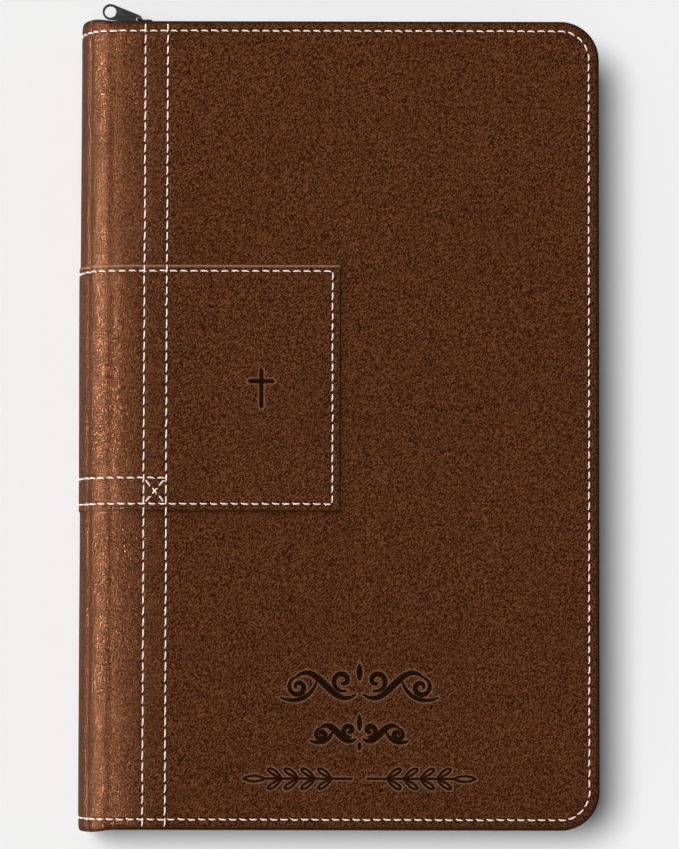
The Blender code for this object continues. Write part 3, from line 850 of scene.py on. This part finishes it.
def hinge_crease(u):
    """Depth of the soft creases where the cover meets the spine and at the spine's fold."""
    hinge = np.exp(-(((u - HINGE_X + 0.0006) / 0.0015) ** 2))
    return 0.00042 * hinge + 0.00045 * spine_fold(u)


def panel_shadow(u, y):
    """Painted shadow just outside the panel's right and tail edges, where the raised panel would cast it.
    """
    past, under = u - PANEL_HIGH.x, PANEL_LOW.y - y
    right = np.where((under < 0) & (y < PANEL_HIGH.y) & (past >= 0), past, 1.0)
    below = np.where((past < 0) & (under >= 0), under, 1.0)
    corner = np.where((past > 0) & (under > 0), np.hypot(past, under), 1.0)
    apart = np.minimum(np.minimum(right, below), corner)
    return 0.45 * np.exp(-((apart / 0.0012) ** 2))


def panel_base(u, y):
    return np.where(in_panel(u, y), PANEL_HEIGHT * skived(u), 0.0) - hinge_crease(u)


def panel_mesh(name, left, rows, ornaments, on_back):
    """The raised panel as a sheet with a rounded, upright edge on its open sides, one more on the back."""
    full = PANEL_HEIGHT
    insets = np.array([0.0, 0.0, 0.00006, 0.00022, 0.0005, 0.0009])
    heights = np.array([-0.0001, full * 0.55, full * 0.82, full * 0.97, full, full])
    rim = len(insets)
    fine_u = [np.arange(x - 0.0013, x + 0.0014, SEAM_STEP) for x in (*SEAM_XS, PANEL_STITCH_RIGHT)]
    stitched_ys = (PANEL_STITCH_HEAD, PANEL_STITCH_TAIL, STRAP_Y)
    fine_y = [np.arange(line_y - 0.0012, line_y + 0.0012, 0.0003) for line_y in stitched_ys]
    if ornaments is not None:
        first, last = extent(ornaments, 0.0008)
        fine_u.append(np.arange(first[0], last[0], 0.00021))
        fine_y.append(np.arange(first[1], last[1], 0.00021))
    right = PANEL_HIGH.x
    low, high = PANEL_LOW.y, PANEL_HIGH.y
    us = np.concatenate([np.arange(left, right - 0.001, 0.0006), *fine_u])
    us = thin_out(us[(us >= left) & (us < right - 0.001)], 0.00016)
    us = np.concatenate([us, right - insets[::-1]])
    us[0] = left
    ys = np.concatenate([np.arange(low + 0.001, high - 0.001, 0.0008), *fine_y])
    ys = thin_out(ys[(ys > low + 0.001) & (ys < high - 0.001)], 0.00016)
    ys = np.concatenate([low + insets, ys, high - insets[::-1]])
    height_u = np.full(len(us), full)
    height_u[-rim:] = heights[::-1]
    height_y = np.full(len(ys), full)
    height_y[:rim] = heights
    height_y[-rim:] = heights[::-1]
    if on_back:
        us = np.concatenate([left + insets, us[us > left + 0.001]])
        height_u = np.concatenate([heights, height_u[rim - len(us):]])
    grid_u, grid_y = np.meshgrid(us, ys)
    h = np.minimum(height_u[None, :], height_y[:, None]).ravel()
    u, y = grid_u.ravel(), grid_y.ravel()
    groove, stitch_shade = pulled_by(rows, u, y)
    on_top = h > full * 0.9
    # Painted shade in the stitch holes and along their grooves.
    burn = stitch_shade * 0.8 * on_top
    h = h * skived(u) - groove * on_top + undulation(u, y) - hinge_crease(u)
    # Painted shade on the panel's right and tail edges only, the sides away from the light.
    right_and_tail_edge_shade = 1.0 - smoothstep(np.minimum(y - low, right - u), 0.0, 0.0006)
    # Painted shade on those edges and along the spine's fold.
    burn = np.maximum(np.maximum(burn, 0.55 * right_and_tail_edge_shade), PAINTED_FOLD_SHADE * spine_fold(u))
    # Painted highlight along the panel's head edge only, the side facing the light.
    wear = 0.9 * np.exp(-(((high - y - 0.0004) / 0.00028) ** 2))
    if ornaments is not None:
        depth, dark, rim = deboss(ornaments, u, y)
        h = h - depth
        # Lighter rims round the ornament: partly rub, partly a painted highlight.
        wear = np.maximum(wear, 0.5 * rim)
        burn = np.maximum(burn, dark)
    sheet = np.stack([u + 0.21, y + 0.13, np.zeros(len(u))], axis=1)
    attributes = {"sheet": sheet, "burn": burn, "wear": wear}
    return new_mesh(name, wrap(u, y, h), grid_faces(len(ys), len(us)), PANEL_LEATHER, attributes)


def thin_out(values, gap):
    """The values in order, without those nearer than a gap to the last one kept."""
    values = np.sort(values)
    kept = [values[0]]
    for value in values[1:]:
        if value - kept[-1] >= gap:
            kept.append(value)
    return np.array(kept)


def leather_case():
    rows = front_stitches()
    title = cross_strokes(TITLE_CENTRE)
    ornaments = scroll_strokes(SCROLL_CENTRE) + sprig_strokes(SPRIG_CENTRE)
    front = case_half("front_case_leather", (rows["edge"], rows["seam"]), ornaments, False)
    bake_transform(front)
    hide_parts("front_cover_skin", "spine_skin")
    panel = panel_mesh("front_panel_leather", U_MID, rows.values(), title, False)
    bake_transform(panel)
    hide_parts("front_panel")
    stands_for = {
        "edge": ["edge_thread"],
        "seam": [f"seam_thread_{row}_{end}" for row in ("outer", "inner") for end in ("head", "tail")],
        "panel": ["panel_thread"],
        "strap": ["strap_thread"],
    }
    for key, row in rows.items():
        piece = stitch_mesh(key + "_stitches", row, panel_base, THREAD)
        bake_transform(piece)
        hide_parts(*stands_for[key])

    back_edge = back_stitches()
    back = case_half("back_case_leather", [back_edge], None, True)
    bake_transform(back)
    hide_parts("back_cover_skin")
    piece = stitch_mesh("back_stitches", back_edge, lambda u, y: np.zeros(len(u)), THREAD)
    mirror_down(piece)
    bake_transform(piece)

    lower = panel_mesh("spine_panel_leather", U_MID - BACK_PANEL_REACH, [], None, True)
    keep_lower_half(lower)
    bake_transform(lower)
    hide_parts("spine_panel")


def mirror_down(obj):
    """Mirrors a piece in the book's middle plane, from the front to the back."""
    for vertex in obj.data.vertices:
        vertex.co.z = TOP_Z - vertex.co.z
    obj.data.flip_normals()


def keep_lower_half(obj):
    """Cuts away what lies above the book's middle plane."""
    bm = bmesh.new()
    bm.from_mesh(obj.data)
    bmesh.ops.delete(bm, geom=[v for v in bm.verts if v.co.z > MID_Z + 0.0006], context="VERTS")
    bm.to_mesh(obj.data)
    bm.free()


leather_case()

# ---- zip coils

COIL_WIRE = 0.00036
COIL_PITCH = 0.0013
COIL_OVERLAP = 0.00042
COIL_HALF_DEPTH = 0.0012
COIL_RINGS = 12


def coil_row(node, stop, towards, phase):
    """One row of the zip's coil: a fine helix that runs round the book's open edges."""
    low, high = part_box(node)
    inset = HALF_LENGTH - middle(stop, 1)
    bottom, top = (low.z - COIL_OVERLAP, high.z) if towards < 0 else (low.z, high.z + COIL_OVERLAP)
    route = edge_route(inset, 0.0004, low.x)
    steps = np.linalg.norm(np.diff(route, axis=0), axis=1)
    travelled = np.concatenate(([0.0], np.cumsum(steps)))
    turns = round(travelled[-1] / COIL_PITCH)
    rings = turns * COIL_RINGS + 1
    place = np.linspace(0.0, travelled[-1], rings)
    x, y = (np.interp(place, travelled, route[:, k]) for k in (0, 1))
    along = np.stack([np.gradient(x), np.gradient(y)], axis=1)
    along /= np.linalg.norm(along, axis=1)[:, None]
    outward = np.stack([-along[:, 1], along[:, 0]], axis=1)
    angle = np.linspace(0.0, math.tau * turns, rings) + phase
    half_depth = COIL_HALF_DEPTH - COIL_WIRE
    half_width = (top - bottom) / 2 - COIL_WIRE
    centre_x = x + outward[:, 0] * half_depth * np.cos(angle)
    centre_y = y + outward[:, 1] * half_depth * np.cos(angle)
    centre_z = (top + bottom) / 2 + half_width * np.sin(angle)
    centre = np.stack([centre_x, centre_y, centre_z], axis=1)
    return helix_mesh(node.replace("zip_coil", "coil_turns"), centre, COIL_WIRE, COIL)


def helix_mesh(name, centre, radius, finish, sides=6):
    """A round wire along a list of points."""
    ahead = np.gradient(centre, axis=0)
    ahead /= np.linalg.norm(ahead, axis=1)[:, None]
    up = np.array([0.0, 0.0, 1.0])
    side = np.cross(ahead, up)
    side /= np.maximum(np.linalg.norm(side, axis=1), 1e-9)[:, None]
    other = np.cross(side, ahead)
    around = np.arange(sides) * math.tau / sides
    points = (
        centre[:, None, :]
        + radius * np.cos(around)[None, :, None] * side[:, None, :]
        + radius * np.sin(around)[None, :, None] * other[:, None, :]
    )
    faces = grid_faces(len(centre), sides, close_columns=True)
    last = (len(centre) - 1) * sides
    faces.append(tuple(reversed(range(sides))))
    faces.append(tuple(last + i for i in range(sides)))
    return new_mesh(name, points.reshape(-1, 3), faces, finish)


for coil_node, coil_body, coil_stop, coil_towards, coil_phase in (
    ("front_zip_coil", "front_cover", "front_top_stop", -1, 0.0),
    ("back_zip_coil", "back_cover", "back_top_stop", 1, math.pi),
):
    turns = coil_row(coil_node, coil_stop, coil_towards, coil_phase)
    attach(turns, coil_body)
    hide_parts(coil_node)

# ---- gutters

GUTTER_ROOT = 0.0012
GUTTER_LAP = 0.003
GUTTER_HALF = 0.0002


def gutter(name, node, finish):
    """The folded paper that joins a turning leaf or section to the sewn block."""
    low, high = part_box(node)
    z = (low.z + high.z) / 2
    xs = np.linspace(HINGE_X - GUTTER_ROOT, low.x + GUTTER_LAP, 25)
    ys = np.linspace(low.y + 0.0004, high.y - 0.0004, 60)
    half = min(GUTTER_HALF, (high.z - low.z) / 2 - 0.00005)
    grid_x, grid_y = np.meshgrid(xs, ys)
    count = grid_x.size
    upper = np.stack([grid_x.ravel(), grid_y.ravel(), np.full(count, z + half)], axis=1)
    lower = upper - np.array([0.0, 0.0, 2 * half])
    faces = grid_faces(len(ys), len(xs))
    faces += flipped(offset_faces(faces, count))
    rim = list(range(len(xs)))
    rim += [r * len(xs) + len(xs) - 1 for r in range(1, len(ys))]
    rim += [(len(ys) - 1) * len(xs) + c for c in range(len(xs) - 2, -1, -1)]
    rim += [r * len(xs) for r in range(len(ys) - 2, 0, -1)]
    for here, there in zip(rim, rim[1:] + rim[:1]):
        faces.append((there, here, here + count, there + count))
    sheet = new_mesh(name, np.concatenate([upper, lower]), faces, finish)
    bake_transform(sheet)


gutter("flyleaf_gutter", "front_flyleaf", ENDPAPER)
gutter("first_gutter", "section_01", PAGES)
gutter("second_gutter", "section_02", PAGES)
gutter("third_gutter", "section_03", PAGES)

# ---- CAD pieces that stay

METAL_ROUNDING = 0.00016
KEPT_NODES = (
    (BOARD, ("front_cover_board", "back_cover_board", "spine_inlay")),
    (ENDPAPER, ("front_cover_lining", "back_cover_lining", "front_flyleaf", "back_flyleaf")),
    (BAND_CLOTH, ("spine_mull", "head_band", "tail_band")),
    (TAPE, ("front_zip_tape", "back_zip_tape")),
    (METAL, ("front_top_stop", "back_top_stop", "zip_bottom_stop")),
    (METAL, ("slider_body", "slider_bail", "pull_link", "pull_tab")),
    (PAGES, [f"section_{number:02d}" for number in range(1, 16)]),
)
for finish, node_names in KEPT_NODES:
    for node_name in node_names:
        node = frame["nodes"][node_name]
        node.data.materials.clear()
        node.data.materials.append(finish)
        if finish is METAL:
            bevel = node.modifiers.new("rounded_edges", "BEVEL")
            bevel.width = METAL_ROUNDING
            bevel.segments = 2
            bevel.limit_method = "ANGLE"
            bevel.angle_limit = math.radians(40)
# ---- floor, light and camera

CAMERA_PLACE = (0.0003, -0.064, TOP_Z + 1.078)
CAMERA_TILT = math.radians(2.56)
CAMERA_ROLL = math.radians(0.12)
CAMERA_SHIFT = 0.0594
CAMERA_LENS = 149.25
CAMERA_SENSOR = 36.0
FLOOR_REACH = 3.0
FLOOR_Z = -0.0003
DOME_RADIUS = 2.95
DOME_GLOW = (0.875, 0.875, 0.875)
WORLD_STRENGTH = 0.20
KEY_STRENGTH = 2.97
KEY_ANGLE = math.radians(25)
KEY_DIRECTION = Vector((0.277, -0.135, -1.0))
SHOULDER = (HINGE_X - 0.0105, TOP_Z - 0.0125)
SPINE_EDGE = (HINGE_X - SPINE_DEPTH, MID_Z + 0.002)
HINGE = (HINGE_X, TOP_Z)
# place, the (x, z) it is aimed at, size, power, spread in degrees, and the rays that don't see it
SIDE_LIGHTS = {
    "strip": ((-0.37, 0.07, 0.27), SHOULDER, (0.48, 0.040), 0.28, 3.0, "diffuse"),
    "rim": ((-0.45, 0.0, 0.050), SPINE_EDGE, (0.50, 0.030), 0.05, 8.0, "glossy"),
    "glow": ((-0.28, 0.22, 0.43), HINGE, (0.30, 0.15), 0.9, 180.0, "glossy"),
}


def add_side_light(unlit, name, place, target, size, power, spread, unseen_by):
    """A soft light on the spine's side that reaches the cover but not the unlit objects."""
    light = bpy.data.lights.new(name, "AREA")
    light.shape = "RECTANGLE"
    light.size, light.size_y = size
    light.energy = power
    light.spread = math.radians(spread)
    lamp = bpy.data.objects.new(name, light)
    bpy.context.scene.collection.objects.link(lamp)
    lamp.location = place
    aim = Vector((place[0] - target[0], 0.0, place[2] - target[1]))
    aim.normalize()
    side = Vector((0.0, 1.0, 0.0))
    lamp.rotation_euler = Matrix((side, aim.cross(side), aim)).transposed().to_euler()
    lamp.visible_camera = False
    setattr(lamp, "visible_" + unseen_by, False)
    lit = bpy.data.collections.new("lit_by_" + name)
    for obj in unlit:
        lit.objects.link(obj)
    lamp.light_linking.receiver_collection = lit
    for member in lit.collection_objects:
        member.light_linking.link_state = "EXCLUDE"


def backdrop_material():
    """A plain, evenly lit pale surround."""
    m = Nodes("backdrop")
    m.tree.nodes.remove(m.shader)
    glow = m.add("Emission", {"Color": DOME_GLOW}).outputs[0]
    m.feed(m.tree.nodes["Material Output"].inputs["Surface"], glow)
    return m.material


def backdrop_mesh():
    """A dome over the floor's edge, seen by the camera only, so that it doesn't change the light."""
    rings, segments = 12, 48
    rise = np.linspace(-0.01, math.pi / 2 - 0.05, rings)[:, None]
    around = (np.arange(segments) * math.tau / segments)[None, :]
    x = DOME_RADIUS * np.cos(rise) * np.cos(around)
    y = DOME_RADIUS * np.cos(rise) * np.sin(around)
    z = DOME_RADIUS * np.sin(rise) * np.ones_like(around)
    points = np.stack([x, y, z], axis=2)
    faces = grid_faces(rings, segments, close_columns=True)
    dome = new_mesh("backdrop", points.reshape(-1, 3), faces, backdrop_material())
    for ray in ("diffuse", "glossy", "transmission", "shadow", "volume_scatter"):
        setattr(dome, "visible_" + ray, False)
    return dome


def floor_mesh():
    """A flat square just under the book, which polished faces don't reflect."""
    signs = ((-1, -1), (1, -1), (1, 1), (-1, 1))
    corners = [(x * FLOOR_REACH, y * FLOOR_REACH, FLOOR_Z) for x, y in signs]
    floor = new_mesh("floor", corners, [(0, 1, 2, 3)], floor_material())
    floor.visible_glossy = False
    return floor


def set_lights(floor):
    """An even white surround, a wide key light, and side lights that skip the floor, paper and metal."""
    scene = bpy.context.scene
    world = bpy.data.worlds.new("soft_studio")
    scene.world = world
    world.use_nodes = True
    background = world.node_tree.nodes["Background"]
    background.inputs["Color"].default_value = (1.0, 1.0, 1.0, 1.0)
    background.inputs["Strength"].default_value = WORLD_STRENGTH
    sun = bpy.data.lights.new("key", "SUN")
    sun.energy = KEY_STRENGTH
    sun.angle = KEY_ANGLE
    key = bpy.data.objects.new("key", sun)
    scene.collection.objects.link(key)
    key.visible_glossy = False
    key.rotation_mode = "QUATERNION"
    key.rotation_quaternion = KEY_DIRECTION.to_track_quat("-Z", "Y")
    meshes = [obj for obj in bpy.data.objects if obj.type == "MESH"]
    unlit = [floor] + [obj for obj in meshes if obj.active_material in (PAGES, ENDPAPER, METAL)]
    for name, settings in SIDE_LIGHTS.items():
        add_side_light(unlit, name, *settings)


def set_camera():
    """A long lens above the book, tilted and shifted a little as in the photograph."""
    lens = bpy.data.cameras.new("camera")
    lens.sensor_width = CAMERA_SENSOR
    lens.lens = CAMERA_LENS
    lens.shift_y = CAMERA_SHIFT
    camera = bpy.data.objects.new("camera", lens)
    camera.location = CAMERA_PLACE
    camera.rotation_euler = (CAMERA_TILT, 0.0, CAMERA_ROLL)
    bpy.context.scene.collection.objects.link(camera)
    bpy.context.scene.camera = camera


view_settings = bpy.context.scene.view_settings
view_settings.view_transform = "Standard"
view_settings.look = "None"
ground = floor_mesh()
backdrop_mesh()
set_lights(ground)
set_camera()
